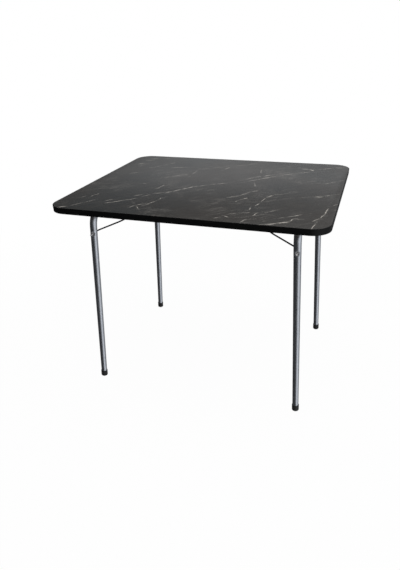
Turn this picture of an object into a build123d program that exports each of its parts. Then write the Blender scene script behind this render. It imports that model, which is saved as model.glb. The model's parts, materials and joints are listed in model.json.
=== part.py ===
"""Folding card table: a laminated panel on two folding tube frames with wire stays.

Millimetres, +Z up. The origin is on the floor, under the middle of the panel.
X runs along the long side, and Y from the front long side to the back one.
Every piece stands where it is with both frames unfolded.
"""
from build123d import *
import os
from math import hypot

# Panel
panel_length = 900
panel_width = 750
table_height = 720
panel_corner_radius = 60
core_thickness = 18
top_laminate_thickness = 0.8
backing_thickness = 0.6
band_thickness = 2
band_edge_round = 0.8

# Leg frames of bent tube
tube_diameter = 22
tube_wall = 1.2
tube_bend_radius = 63
tube_to_panel = 3.6
fold_axis_from_end = 104
foot_from_end = 57
left_top_half_width = 267
left_foot_half_width = 298
right_top_half_width = 263.5
right_foot_half_width = 294.5

# Rubber foot caps
cap_wall = 1.7
cap_height = 25
cap_floor = 4
cap_bottom_round = 4.5
cap_rim_round = 1.2
cap_fit_clearance = 0.05
cap_floor_cut = 0.8

# Wire stays
wire_diameter = 5
stay_hole_drop = 83
stay_hole_clearance = 0.1
left_stay_stand_out = 13
right_stay_stand_out = 3.5
stay_inset = 28
stay_draw_in = 40
stay_bend_radius = 9
stay_cross_reach = 193
wire_end_round = 0.7

# Split bushes around the crossbars
bush_wall = 2.4
bush_running_clearance = 0.1
bush_collar_height = 2.2
bush_collar_thickness = 2.5
bush_slit = 2
saddle_from_middle = 120

# Pressed steel saddles
saddle_width = 22
saddle_thickness = 1.5
saddle_clearance = 0.1
saddle_flange = 21
saddle_bend_round = 1.2
saddle_corner_round = 5

# Keepers: bent steel strips that hook around the cross part of a stay
keeper_from_corner = 34
keeper_to_panel = 1.8
keeper_width = 32
keeper_thickness = 2
keeper_tab_reach = 36
keeper_bend_radius = 2.5
keeper_clearance = 0.3
keeper_wrap_angle = 60
keeper_corner_round = 4
keeper_screw_spacing = 18
keeper_screw_from_tab_end = 11

# Pan head screws
screw_shank_diameter = 3.5
screw_length = 14
screw_tip_length = 3
screw_head_diameter = 7
screw_head_height = 2.5
screw_recess_length = 3.8
screw_recess_width = 0.9
screw_recess_depth = 1.3
screw_hole_clearance = 0.2
pilot_clearance = 0.05
pilot_extra_depth = 1

# One overrun serves every cut
overrun = 2

# Derived heights
core_top = table_height - top_laminate_thickness
core_bottom = core_top - core_thickness
underside = core_bottom - backing_thickness
axis_drop = tube_diameter / 2 + tube_to_panel
axis_height = underside - axis_drop
cross_drop = keeper_to_panel + keeper_thickness + keeper_clearance + wire_diameter / 2
cross_height = underside - cross_drop

# Derived places in plan
axis_from_centre = panel_length / 2 - fold_axis_from_end
foot_from_centre = panel_length / 2 - foot_from_end
cross_from_centre = axis_from_centre - stay_cross_reach

# Derived radii
tube_radius = tube_diameter / 2
wire_radius = wire_diameter / 2
cap_bore_radius = tube_radius + cap_fit_clearance
cap_radius = cap_bore_radius + cap_wall
bush_bore_radius = tube_radius + bush_running_clearance
bush_radius = bush_bore_radius + bush_wall
collar_radius = bush_radius + bush_collar_height
saddle_inner_radius = bush_radius + saddle_clearance
saddle_outer_radius = saddle_inner_radius + saddle_thickness
saddle_half_span = saddle_outer_radius + saddle_flange
saddle_screw_from_axis = saddle_outer_radius + saddle_flange / 2
screw_hole_radius = screw_shank_diameter / 2 + screw_hole_clearance
pilot_radius = screw_shank_diameter / 2 + pilot_clearance
keeper_wrap_radius = wire_radius + keeper_clearance + keeper_thickness / 2

# Which way each frame and each leg lies from the middle
sides = {"left": -1, "right": 1}
ends = {"front": -1, "back": 1}
top_half_widths = {"left": left_top_half_width, "right": right_top_half_width}
foot_half_widths = {"left": left_foot_half_width, "right": right_foot_half_width}
stand_outs = {"left": left_stay_stand_out, "right": right_stay_stand_out}

os.makedirs("parts", exist_ok=True)


def save(part, name):
    """Label a finished piece and write it as a STEP file of the same name."""
    part.label = name
    export_step(part, f"parts/{name}.step")


def frame_plane(side):
    """Plane of a leg frame: origin on the fold axis, x to the back, y down the legs."""
    outward = foot_from_centre - axis_from_centre
    leaning = Vector(side * outward, 0, -axis_height).normalized()
    origin = (side * axis_from_centre, 0, axis_height)
    return Plane(origin=origin, x_dir=(0, 1, 0), z_dir=Vector(0, 1, 0).cross(leaning))


def leg_foot_distance():
    """Distance down a frame's plane from the fold axis to the floor."""
    return hypot(foot_from_centre - axis_from_centre, axis_height)


def leg_slant(name):
    """Length along a leg for each unit of distance down its frame's plane."""
    spread = foot_half_widths[name] - top_half_widths[name]
    return hypot(spread, leg_foot_distance()) / leg_foot_distance()


def leg_offset(name, distance):
    """Distance of a leg's axis from the frame's middle, at a distance down the frame."""
    spread = foot_half_widths[name] - top_half_widths[name]
    return top_half_widths[name] + spread * distance / leg_foot_distance()


def leg_point(name, end, distance):
    """World point on a leg's axis, at a distance down the frame's plane."""
    local = Vector(end * leg_offset(name, distance), distance, 0)
    return frame_plane(sides[name]).from_local_coords(local)


def leg_direction(name, end):
    """Unit vector up a leg, from the floor to the fold axis."""
    foot = leg_point(name, end, leg_foot_distance())
    return (leg_point(name, end, 0) - foot).normalized()


def cap_base_point(name, end):
    """Lowest point of a cap's own axis, which is cut off flat on the floor."""
    foot = leg_point(name, end, leg_foot_distance())
    return foot - leg_direction(name, end) * cap_floor_cut


def stay_plane(side):
    """Plane of a stay: origin on its hinge axis, x to the back, y up to its cross part."""
    hinge = frame_plane(side).from_local_coords(Vector(0, stay_hole_drop, 0))
    cross = Vector(side * cross_from_centre, 0, cross_height)
    rising = (cross - hinge).normalized()
    return Plane(origin=hinge, x_dir=(0, 1, 0), z_dir=Vector(0, 1, 0).cross(rising))


def stay_length():
    """Distance from a stay's hinge axis to the axis of its cross part."""
    hinge = frame_plane(1).from_local_coords(Vector(0, stay_hole_drop, 0))
    return hypot(hinge.X - cross_from_centre, cross_height - hinge.Z)


def stay_arm_foot(name):
    """Distance from the middle to the corner where a stay's pin bends up into its arm."""
    return leg_offset(name, stay_hole_drop) - stay_inset


def stay_arm_head(name):
    """Distance from the middle to the corner where a stay's arm meets its cross part."""
    return stay_arm_foot(name) - stay_draw_in


def keeper_middle(name):
    """Distance from the middle of the table to the middle of a keeper."""
    return stay_arm_head(name) - keeper_from_corner - keeper_width / 2


def sheet_outline():
    """Outline of the panel's core and laminates, inside the edge band."""
    RectangleRounded(
        panel_length - 2 * band_thickness,
        panel_width - 2 * band_thickness,
        panel_corner_radius - band_thickness,
    )


def saddle_screw_points(name, end):
    """Where the two screws of one saddle stand, seen from above."""
    middle = sides[name] * axis_from_centre
    return [
        (middle + along * saddle_screw_from_axis, end * saddle_from_middle)
        for along in (-1, 1)
    ]


def keeper_screw_points(name, end):
    """Where the two screws of one keeper stand, seen from above."""
    tab_row = cross_from_centre + keeper_tab_reach - keeper_screw_from_tab_end
    return [
        (sides[name] * tab_row, end * keeper_middle(name) + across * keeper_screw_spacing / 2)
        for across in (-1, 1)
    ]


def at_every_end(screw_points):
    """Screw points of all four pieces of one kind."""
    return [
        point
        for name in sides
        for end in ends.values()
        for point in screw_points(name, end)
    ]


def pilot_depth(plate_thickness):
    """Depth of a pilot hole above the underside, for a screw through a plate."""
    return screw_length - plate_thickness + pilot_extra_depth


def cut_pilot_holes():
    """Cut the holes of every screw up into the panel piece being built."""
    fastened = (
        (saddle_screw_points, saddle_thickness),
        (keeper_screw_points, keeper_thickness),
    )
    for screw_points, plate_thickness in fastened:
        with BuildSketch(Plane.XY.offset(underside)) as pilots:
            with Locations(*at_every_end(screw_points)):
                Circle(pilot_radius)
        extrude(pilots.sketch, amount=pilot_depth(plate_thickness), mode=Mode.SUBTRACT)


def arch_profile(radius, mode=Mode.ADD):
    """Half round below the fold axis, with straight sides up to the underside."""
    with BuildLine() as arch:
        Polyline((radius, 0), (radius, axis_drop), (-radius, axis_drop), (-radius, 0))
        ThreePointArc((-radius, 0), (0, -radius), (radius, 0))
    make_face(arch.edges(), mode=mode)


def make_screw():
    """Pan head screw with a cross recess, its shank pointing up from the plate's face."""
    shank = screw_shank_diameter / 2
    head = screw_head_diameter / 2
    shoulder = screw_head_height / 2
    with BuildPart() as screw:
        with BuildSketch(Plane.XZ):
            with BuildLine():
                Polyline(
                    (0, -screw_head_height),
                    (0, screw_length),
                    (shank, screw_length - screw_tip_length),
                    (shank, 0),
                    (head, 0),
                    (head, -shoulder),
                )
                RadiusArc((head, -shoulder), (0, -screw_head_height), screw_head_diameter)
            make_face()
        revolve(axis=Axis.Z)
        with BuildSketch(Plane.XY.offset(-screw_head_height)):
            Rectangle(screw_recess_length, screw_recess_width)
            Rectangle(screw_recess_width, screw_recess_length)
        extrude(amount=screw_recess_depth, mode=Mode.SUBTRACT)
    return screw.part


# Core of the panel, with the screws' pilot holes in its lower face
with BuildPart() as board_core:
    with BuildSketch(Plane.XY.offset(core_bottom)):
        sheet_outline()
    extrude(amount=core_thickness)
    cut_pilot_holes()
save(board_core.part, "board_core")

# Patterned laminate on top of the core
with BuildPart() as top_laminate:
    with BuildSketch(Plane.XY.offset(core_top)):
        sheet_outline()
    extrude(amount=top_laminate_thickness)
save(top_laminate.part, "top_laminate")

# Plain backing laminate under the core
with BuildPart() as backing_laminate:
    with BuildSketch(Plane.XY.offset(underside)):
        sheet_outline()
    extrude(amount=backing_thickness)
    cut_pilot_holes()
save(backing_laminate.part, "backing_laminate")

# Edge band all the way round the panel
with BuildPart() as edge_band:
    with BuildSketch(Plane.XY.offset(underside)):
        RectangleRounded(panel_length, panel_width, panel_corner_radius)
        offset(amount=-band_thickness, mode=Mode.SUBTRACT)
    extrude(amount=table_height - underside)
    for which in (-1, 0):
        rim = edge_band.faces().sort_by(Axis.Z)[which]
        fillet(rim.outer_wire().edges(), radius=band_edge_round)
save(edge_band.part, "edge_band")

for side_name, side in sides.items():
    plane = frame_plane(side)
    tube_end = leg_foot_distance() - (cap_floor - cap_floor_cut) / leg_slant(side_name)
    hole_offset = leg_offset(side_name, stay_hole_drop)
    hinge_point = plane.from_local_coords(Vector(0, stay_hole_drop, 0))

    # Leg frame: one tube bent into a U, with a cross hole through each leg
    with BuildPart() as leg_frame:
        with BuildLine(plane) as centreline:
            FilletPolyline(
                (-leg_offset(side_name, tube_end), tube_end),
                (-top_half_widths[side_name], 0),
                (top_half_widths[side_name], 0),
                (leg_offset(side_name, tube_end), tube_end),
                radius=tube_bend_radius,
            )
        with BuildSketch(Plane(origin=centreline.line @ 0, z_dir=centreline.line % 0)):
            Circle(tube_radius)
            Circle(tube_radius - tube_wall, mode=Mode.SUBTRACT)
        sweep(path=centreline.line)
        for end in ends.values():
            across = Vector(hinge_point.X, end * hole_offset, hinge_point.Z)
            with BuildSketch(Plane(origin=across, x_dir=(1, 0, 0), z_dir=(0, 1, 0))):
                Circle(wire_radius + stay_hole_clearance)
            extrude(amount=tube_radius + overrun, both=True, mode=Mode.SUBTRACT)
    save(leg_frame.part, f"leg_frame_{side_name}")

    # Foot caps: cups pushed on the tube's ends, cut flat where they stand
    for end_name, end in ends.items():
        base = Plane(origin=cap_base_point(side_name, end), z_dir=leg_direction(side_name, end))
        with BuildPart() as foot_cap:
            with BuildSketch(base):
                Circle(cap_radius)
            extrude(amount=cap_height)
            fillet(foot_cap.faces().sort_by(Axis.Z)[0].edges(), radius=cap_bottom_round)
            with BuildSketch(base.offset(cap_floor)):
                Circle(cap_bore_radius)
            extrude(amount=cap_height, mode=Mode.SUBTRACT)
            fillet(foot_cap.faces().sort_by(Axis.Z)[-1].outer_wire().edges(), radius=cap_rim_round)
            split(bisect_by=Plane.XY, keep=Keep.TOP)
        save(foot_cap.part, f"foot_cap_{side_name}_{end_name}")

    # Wire stay: pinned through both legs, drawn in towards its cross part
    pin_end = hole_offset + tube_radius + stand_outs[side_name]
    arm_foot = stay_arm_foot(side_name)
    arm_head = stay_arm_head(side_name)
    with BuildPart() as wire_stay:
        with BuildLine(stay_plane(side)) as wire_line:
            FilletPolyline(
                (-pin_end, 0),
                (-arm_foot, 0),
                (-arm_head, stay_length()),
                (arm_head, stay_length()),
                (arm_foot, 0),
                (pin_end, 0),
                radius=stay_bend_radius,
            )
        with BuildSketch(Plane(origin=wire_line.line @ 0, z_dir=wire_line.line % 0)):
            Circle(wire_radius)
        sweep(path=wire_line.line)
        for which in (-1, 0):
            tip = wire_stay.faces().sort_by(Axis.Y)[which]
            fillet(tip.edges(), radius=wire_end_round)
    save(wire_stay.part, f"wire_stay_{side_name}")

    for end_name, end in ends.items():
        middle = Vector(side * axis_from_centre, end * saddle_from_middle, axis_height)
        across_bar = Plane(origin=middle, x_dir=(1, 0, 0), z_dir=(0, -1, 0))

        # Split bush: a plastic arch around the crossbar, slit where it meets the panel
        with BuildPart() as bush:
            with BuildSketch(across_bar):
                arch_profile(bush_radius)
            extrude(amount=saddle_width / 2 + bush_collar_thickness, both=True)
            for collar_start in (saddle_width / 2, -saddle_width / 2 - bush_collar_thickness):
                with BuildSketch(across_bar.offset(collar_start)):
                    arch_profile(collar_radius)
                extrude(amount=bush_collar_thickness)
            with BuildSketch(across_bar):
                Circle(bush_bore_radius)
                with Locations((0, axis_drop / 2 + overrun / 2)):
                    Rectangle(bush_slit, axis_drop + overrun)
            extrude(amount=saddle_width + bush_collar_thickness, both=True, mode=Mode.SUBTRACT)
        save(bush.part, f"bush_{side_name}_{end_name}")

        # Saddle: a pressed strap around the bush, its flanges flat on the underside
        with BuildPart() as saddle:
            with BuildSketch(across_bar) as strap:
                arch_profile(saddle_outer_radius)
                with Locations((0, axis_drop - saddle_thickness / 2)):
                    Rectangle(2 * saddle_half_span, saddle_thickness)
                bends = strap.vertices().group_by(Axis.Y)[-2].sort_by(Axis.X)[1:-1]
                fillet(bends, radius=saddle_bend_round)
                arch_profile(saddle_inner_radius, mode=Mode.SUBTRACT)
            extrude(amount=saddle_width / 2, both=True)
            upright = saddle.edges().filter_by(Axis.Z).group_by(Axis.X)
            fillet(upright[0] + upright[-1], radius=saddle_corner_round)
            with BuildSketch(Plane.XY.offset(underside - saddle_thickness - overrun)):
                with Locations(*saddle_screw_points(side_name, end)):
                    Circle(screw_hole_radius)
            extrude(amount=saddle_thickness + 2 * overrun, mode=Mode.SUBTRACT)
        save(saddle.part, f"saddle_{side_name}_{end_name}")

        # Keeper: a screwed strip that steps down and hooks around the stay's cross part
        cross = Vector(side * cross_from_centre, end * keeper_middle(side_name), cross_height)
        tab_height = cross_drop - keeper_thickness / 2
        bend_start = keeper_wrap_radius + keeper_bend_radius
        with BuildPart() as keeper:
            with BuildLine(Plane(origin=cross, x_dir=(-side, 0, 0), z_dir=(0, side, 0))) as strip:
                tab = Line((-keeper_tab_reach, tab_height), (-bend_start, tab_height))
                step = JernArc(tab @ 1, tab % 1, keeper_bend_radius, -90)
                drop = Line(step @ 1, (-keeper_wrap_radius, 0))
                JernArc(drop @ 1, drop % 1, keeper_wrap_radius, keeper_wrap_angle)
            start = strip.line @ 0
            with BuildSketch(Plane(origin=start, x_dir=(0, 1, 0), z_dir=strip.line % 0)):
                Rectangle(keeper_width, keeper_thickness)
            sweep(path=strip.line)
            upright = keeper.edges().filter_by(Axis.Z).group_by(Axis.X)
            fillet(upright[-1 if side > 0 else 0], radius=keeper_corner_round)
            with BuildSketch(Plane.XY.offset(underside - keeper_thickness - overrun)):
                with Locations(*keeper_screw_points(side_name, end)):
                    Circle(screw_hole_radius)
            extrude(amount=keeper_thickness + 2 * overrun, mode=Mode.SUBTRACT)
        save(keeper.part, f"keeper_{side_name}_{end_name}")

# Screws of the saddles and of the keepers, each group in one node
screw = make_screw()

with BuildPart() as saddle_screws:
    face = underside - saddle_thickness
    with Locations(*[(x, y, face) for x, y in at_every_end(saddle_screw_points)]):
        add(screw)
save(saddle_screws.part, "saddle_screws")

with BuildPart() as keeper_screws:
    face = underside - keeper_thickness
    with Locations(*[(x, y, face) for x, y in at_every_end(keeper_screw_points)]):
        add(screw)
save(keeper_screws.part, "keeper_screws")
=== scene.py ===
"""Looks of a folding card table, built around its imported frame.

Metres, +Z up, in the frame's own axes. Each kind of piece is a class that holds its sizes
and shapes its mesh, each finish is a frozen dataclass that paints one material, and places
are read from the frame's nodes, joints and mounts.
"""
import json
import logging
from dataclasses import dataclass
from enum import Enum
from functools import cached_property
from math import atan2, cos, pi, radians, sin, tan
from typing import Any, Sequence

import bmesh
import bpy
from mathutils import Matrix, Vector


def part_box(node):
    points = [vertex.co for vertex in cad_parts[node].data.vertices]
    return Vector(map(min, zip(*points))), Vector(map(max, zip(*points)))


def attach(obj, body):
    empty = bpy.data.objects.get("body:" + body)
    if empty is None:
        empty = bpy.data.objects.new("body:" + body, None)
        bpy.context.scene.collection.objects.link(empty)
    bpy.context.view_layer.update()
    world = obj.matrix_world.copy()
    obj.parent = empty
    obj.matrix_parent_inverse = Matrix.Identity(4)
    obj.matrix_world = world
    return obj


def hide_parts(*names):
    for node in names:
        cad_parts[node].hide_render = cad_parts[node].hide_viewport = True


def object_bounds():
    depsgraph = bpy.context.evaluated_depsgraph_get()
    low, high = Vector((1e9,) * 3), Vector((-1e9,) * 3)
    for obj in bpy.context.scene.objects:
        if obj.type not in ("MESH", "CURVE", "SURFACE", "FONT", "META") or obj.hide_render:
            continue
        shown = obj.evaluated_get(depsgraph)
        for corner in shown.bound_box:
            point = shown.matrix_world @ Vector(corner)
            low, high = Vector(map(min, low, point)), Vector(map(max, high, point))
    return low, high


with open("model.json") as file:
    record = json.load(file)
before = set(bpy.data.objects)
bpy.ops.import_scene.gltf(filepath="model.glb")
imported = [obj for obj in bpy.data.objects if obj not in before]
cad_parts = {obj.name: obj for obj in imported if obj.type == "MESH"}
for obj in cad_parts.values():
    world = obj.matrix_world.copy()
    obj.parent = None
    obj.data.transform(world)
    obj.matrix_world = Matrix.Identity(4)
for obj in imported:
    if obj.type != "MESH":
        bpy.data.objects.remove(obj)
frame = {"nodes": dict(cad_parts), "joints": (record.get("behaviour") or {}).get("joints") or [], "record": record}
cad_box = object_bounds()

log = logging.getLogger("folding_table")

# lengths below which two points are one: in a finished piece, and where an outline closes
HAIR = 1e-6
JOIN = 1e-5

SMOOTH_BELOW = radians(32)
FEWEST_BEND_STEPS = 2
WHITE = (1.0, 1.0, 1.0)

# from the panel's middle line to a leg's axis, up at the crossbar
LEFT_TOP_HALF_WIDTH = 0.2670
RIGHT_TOP_HALF_WIDTH = 0.2635

# the marble print is drawn on squares, so many of them to the table's length
SQUARES_ALONG = 90
SQUARE = (cad_box[1][0] - cad_box[0][0]) / SQUARES_ALONG

Colour = tuple[float, float, float]
Triple = tuple[float, float, float]
Pair = tuple[float, float]
Box = tuple[Vector, Vector]
Edge = bmesh.types.BMEdge
Mesh = bmesh.types.BMesh


class Whereabouts(Enum):
    """A choice of place that is part of the names of pieces, nodes and joints."""

    @property
    def label(self) -> str:
        """The place's name, as the frame's nodes spell it."""
        return self.name.lower()


class Side(Whereabouts):
    """Which end of the panel a folding frame stands under."""

    LEFT = -1
    RIGHT = 1


class End(Whereabouts):
    """Which long edge of the panel a piece lies near."""

    FRONT = -1
    BACK = 1


def ease(value: float, low: float, high: float) -> float:
    """A smooth step from 0 at low to 1 at high."""
    share = min(max((value - low) / (high - low), 0.0), 1.0)
    return share * share * (3 - 2 * share)


def place_of(rows: list[dict[str, Any]], name: str) -> Vector:
    """The place of the joint or mount of that name, among all of them."""
    return Vector(next(row for row in rows if row["name"] == name)["pos_m"])


def joint_place(name: str) -> Vector:
    """Where one of the frame's joints is."""
    return place_of(frame["joints"], name)


def mount_place(name: str) -> Vector:
    """Where one of the record's mounts is."""
    return place_of(frame["record"]["mounts"], name)


def pin_place() -> Pair:
    """How far to the side of the panel's middle the stays' pins are, and how high."""
    place = joint_place("right_stay_swing")
    return place.x, place.z


class Value:
    """A number that varies over a surface, so that it can stand in a Python sum."""

    def __init__(self, sheet: "NodeSheet", socket: bpy.types.NodeSocket) -> None:
        """Hold an output socket.

        Args:
            sheet: The node sheet that the socket is on.
            socket: The output that carries the number.
        """
        self.sheet = sheet
        self.socket = socket

    def __add__(self, other: "Value | float") -> "Value":
        """This value plus another."""
        return self.sheet.maths("ADD", self, other)

    def __radd__(self, other: float) -> "Value":
        """A number plus this value."""
        return self.sheet.maths("ADD", other, self)

    def __sub__(self, other: "Value | float") -> "Value":
        """This value less another."""
        return self.sheet.maths("SUBTRACT", self, other)

    def __rsub__(self, other: float) -> "Value":
        """A number less this value."""
        return self.sheet.maths("SUBTRACT", other, self)

    def __mul__(self, other: "Value | float") -> "Value":
        """This value times another."""
        return self.sheet.maths("MULTIPLY", self, other)

    def __rmul__(self, other: float) -> "Value":
        """A number times this value."""
        return self.sheet.maths("MULTIPLY", other, self)

    def __abs__(self) -> "Value":
        """This value without its sign."""
        return self.sheet.maths("ABSOLUTE", self)

    def larger(self, other: "Value | float") -> "Value":
        """The larger of this value and another."""
        return self.sheet.maths("MAXIMUM", self, other)


class NodeSheet:
    """The node tree of one material or world, written as Python expressions."""

    MIX_FACTOR, MIX_FIRST, MIX_SECOND, MIX_RESULT = 0, 6, 7, 2

    def __init__(self, tree: bpy.types.NodeTree) -> None:
        """Start with an empty tree.

        Args:
            tree: The tree to write.
        """
        self.tree = tree
        tree.nodes.clear()

    def node(self, kind: str, settings: dict[str, Any] | None = None,
             sockets: dict[str | int, Any] | None = None) -> bpy.types.Node:
        """Add one node.

        Args:
            kind: The node's type, without its ShaderNode prefix.
            settings: The node's own settings, which are set first.
            sockets: Values or links of its inputs, by name or number.

        Returns:
            The new node.
        """
        made = self.tree.nodes.new("ShaderNode" + kind)
        for name, setting in (settings or {}).items():
            setattr(made, name, setting)
        for key, given in (sockets or {}).items():
            source = given.socket if isinstance(given, Value) else given
            if isinstance(source, bpy.types.NodeSocket):
                self.tree.links.new(source, made.inputs[key])
            else:
                made.inputs[key].default_value = source
        return made

    def maths(self, operation: str, *terms: Value | float, clamp: bool = False) -> Value:
        """Join values in one Math node.

        Args:
            operation: The Math node's operation.
            terms: Its values, in order.
            clamp: Whether the result stays between 0 and 1.

        Returns:
            The result.
        """
        settings = {"operation": operation, "use_clamp": clamp}
        made = self.node("Math", settings, dict(enumerate(terms)))
        return Value(self, made.outputs[0])

    def vector(self, operation: str, *terms: Any, output: str = "Vector") -> Any:
        """Join vectors in one Vector Math node.

        Args:
            operation: The Vector Math node's operation.
            terms: Its vectors, in order.
            output: "Vector", or "Value" for a distance or a dot product.

        Returns:
            The output socket, or a Value where the result is a number.
        """
        made = self.node("VectorMath", {"operation": operation}, dict(enumerate(terms)))
        return Value(self, made.outputs["Value"]) if output == "Value" else made.outputs[0]

    @cached_property
    def place(self) -> bpy.types.NodeSocket:
        """The point on the surface, in the object's own metres."""
        return self.node("TexCoord").outputs["Object"]

    @cached_property
    def axes(self) -> tuple[Value, Value, Value]:
        """The three coordinates of the point on the surface."""
        parts = self.node("SeparateXYZ", sockets={0: self.place})
        return tuple(Value(self, output) for output in parts.outputs)

    def stretched(self, scale: Triple, turn: float = 0.0) -> bpy.types.NodeSocket:
        """The surface point, turned about Z where asked and then stretched.

        Args:
            scale: How much each axis is multiplied by.
            turn: The turn in radians.

        Returns:
            The new vector.
        """
        flat = self.place
        if turn:
            mapped = {"Vector": flat, "Rotation": (0.0, 0.0, turn)}
            flat = self.node("Mapping", sockets=mapped).outputs[0]
        return self.vector("MULTIPLY", flat, scale)

    def noise(self, scale: float, detail: float = 3.0, at: Any = None,
              roughness: float = 0.5) -> Value:
        """Cloudy noise from 0 to 1.

        Args:
            scale: Lumps to a metre.
            detail: How many finer layers lie over it.
            at: Where it is read, the surface point unless given.
            roughness: How strong the finer layers are.

        Returns:
            The noise.
        """
        sockets = {"Scale": scale, "Detail": detail, "Roughness": roughness}
        sockets["Vector"] = at or self.place
        return Value(self, self.node("TexNoise", sockets=sockets).outputs[0])

    def cells(self, scale: float, output: str = "Distance", at: Any = None) -> Value:
        """Distance to the nearest of many scattered points, or a colour for each cell.

        Args:
            scale: Cells to a metre.
            output: "Distance", or "Color" for a random number for each cell.
            at: Where it is read, the surface point unless given.

        Returns:
            The chosen output.
        """
        sockets = {"Vector": at or self.place, "Scale": scale}
        return Value(self, self.node("TexVoronoi", sockets=sockets).outputs[output])

    def fade(self, value: Value, low: float, high: float) -> Value:
        """A smooth step of a value.

        Args:
            value: The value.
            low: Where the step is still 0.
            high: Where it has reached 1.

        Returns:
            The step.
        """
        settings = {"interpolation_type": "SMOOTHSTEP"}
        sockets = {"Value": value, "From Min": low, "From Max": high}
        return Value(self, self.node("MapRange", settings, sockets).outputs[0])

    def patches(self, scale: float, detail: float, levels: Pair, **reading: Any) -> Value:
        """Soft-edged patches, cut out of a noise.

        Args:
            scale: Lumps to a metre.
            detail: How many finer layers lie over it.
            levels: The noise's level where a patch starts, and where it is full.
            reading: Where the noise is read, and its roughness, if not as usual.

        Returns:
            0 off the patches, and 1 well inside them.
        """
        return self.fade(self.noise(scale, detail, **reading), *levels)

    def dots(self, scale: float, levels: Pair) -> Value:
        """Round dots, one to a cell, that fade between two shares of a cell's width."""
        return 1.0 - self.fade(self.cells(scale), *levels)

    @staticmethod
    def creases(wave: Value, sharpness: float) -> Value:
        """Thin lines where a noise crosses its middle: 1 on them, and less than 0 beside them."""
        return 1.0 - abs(wave - 0.5) * sharpness

    def mix(self, factor: Value | float, first: Any, second: Any) -> bpy.types.NodeSocket:
        """Mix two colours.

        Args:
            factor: 0 for the first colour, and 1 for the second.
            first: A colour, or a socket that gives one.
            second: A colour, or a socket that gives one.

        Returns:
            The mixed colour.
        """
        chosen = [(*c, 1.0) if isinstance(c, tuple) else c for c in (first, second)]
        sockets = {self.MIX_FACTOR: factor, self.MIX_FIRST: chosen[0], self.MIX_SECOND: chosen[1]}
        made = self.node("Mix", {"data_type": "RGBA"}, sockets)
        return made.outputs[self.MIX_RESULT]

    def bump(self, height: Value, depth: float, strength: float = 1.0) -> bpy.types.NodeSocket:
        """A normal that follows a height.

        Args:
            height: Height from 0 to 1.
            depth: What a height of 1 is, in metres.
            strength: How much of it shows.

        Returns:
            The normal.
        """
        sockets = {"Height": height, "Distance": depth, "Strength": strength}
        return self.node("Bump", sockets=sockets).outputs[0]

    def surface(self, **sockets: Any) -> None:
        """End a material in a principled shader.

        Args:
            sockets: Its inputs, named with underscores.
        """
        named = {}
        for name, given in sockets.items():
            is_colour = isinstance(given, tuple)
            label = name.replace("_", " ").title().replace("Ior", "IOR")
            named[label] = (*given, 1.0) if is_colour else given
        shader = self.node("BsdfPrincipled", sockets=named)
        self.node("OutputMaterial", sockets={"Surface": shader.outputs[0]})


@dataclass(frozen=True)
class Finish:
    """A finish: what its material is called, and the record's slot that it belongs to."""

    name: str
    slot: str

    def paint(self, sheet: NodeSheet) -> None:
        """Write the finish's nodes.

        Args:
            sheet: The empty node sheet of its material.
        """
        raise NotImplementedError

    @cached_property
    def material(self) -> bpy.types.Material:
        """The finish's material, made when it is first asked for.

        Returns:
            The material.
        """
        made = bpy.data.materials.new(self.name)
        made.use_nodes = True
        self.paint(NodeSheet(made.node_tree))
        return made


class Tone(Enum):
    """How strongly a vein of the marble print stands out of the stone."""

    FAINT = 0.55
    CLEAR = 0.76
    BRIGHT = 0.96


@dataclass(frozen=True)
class Vein:
    """One pale vein of the print, through corners counted in squares from the top's middle."""

    tone: Tone
    corners: tuple[tuple[int, int], ...]
    half_width: float = 0.0020


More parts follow.
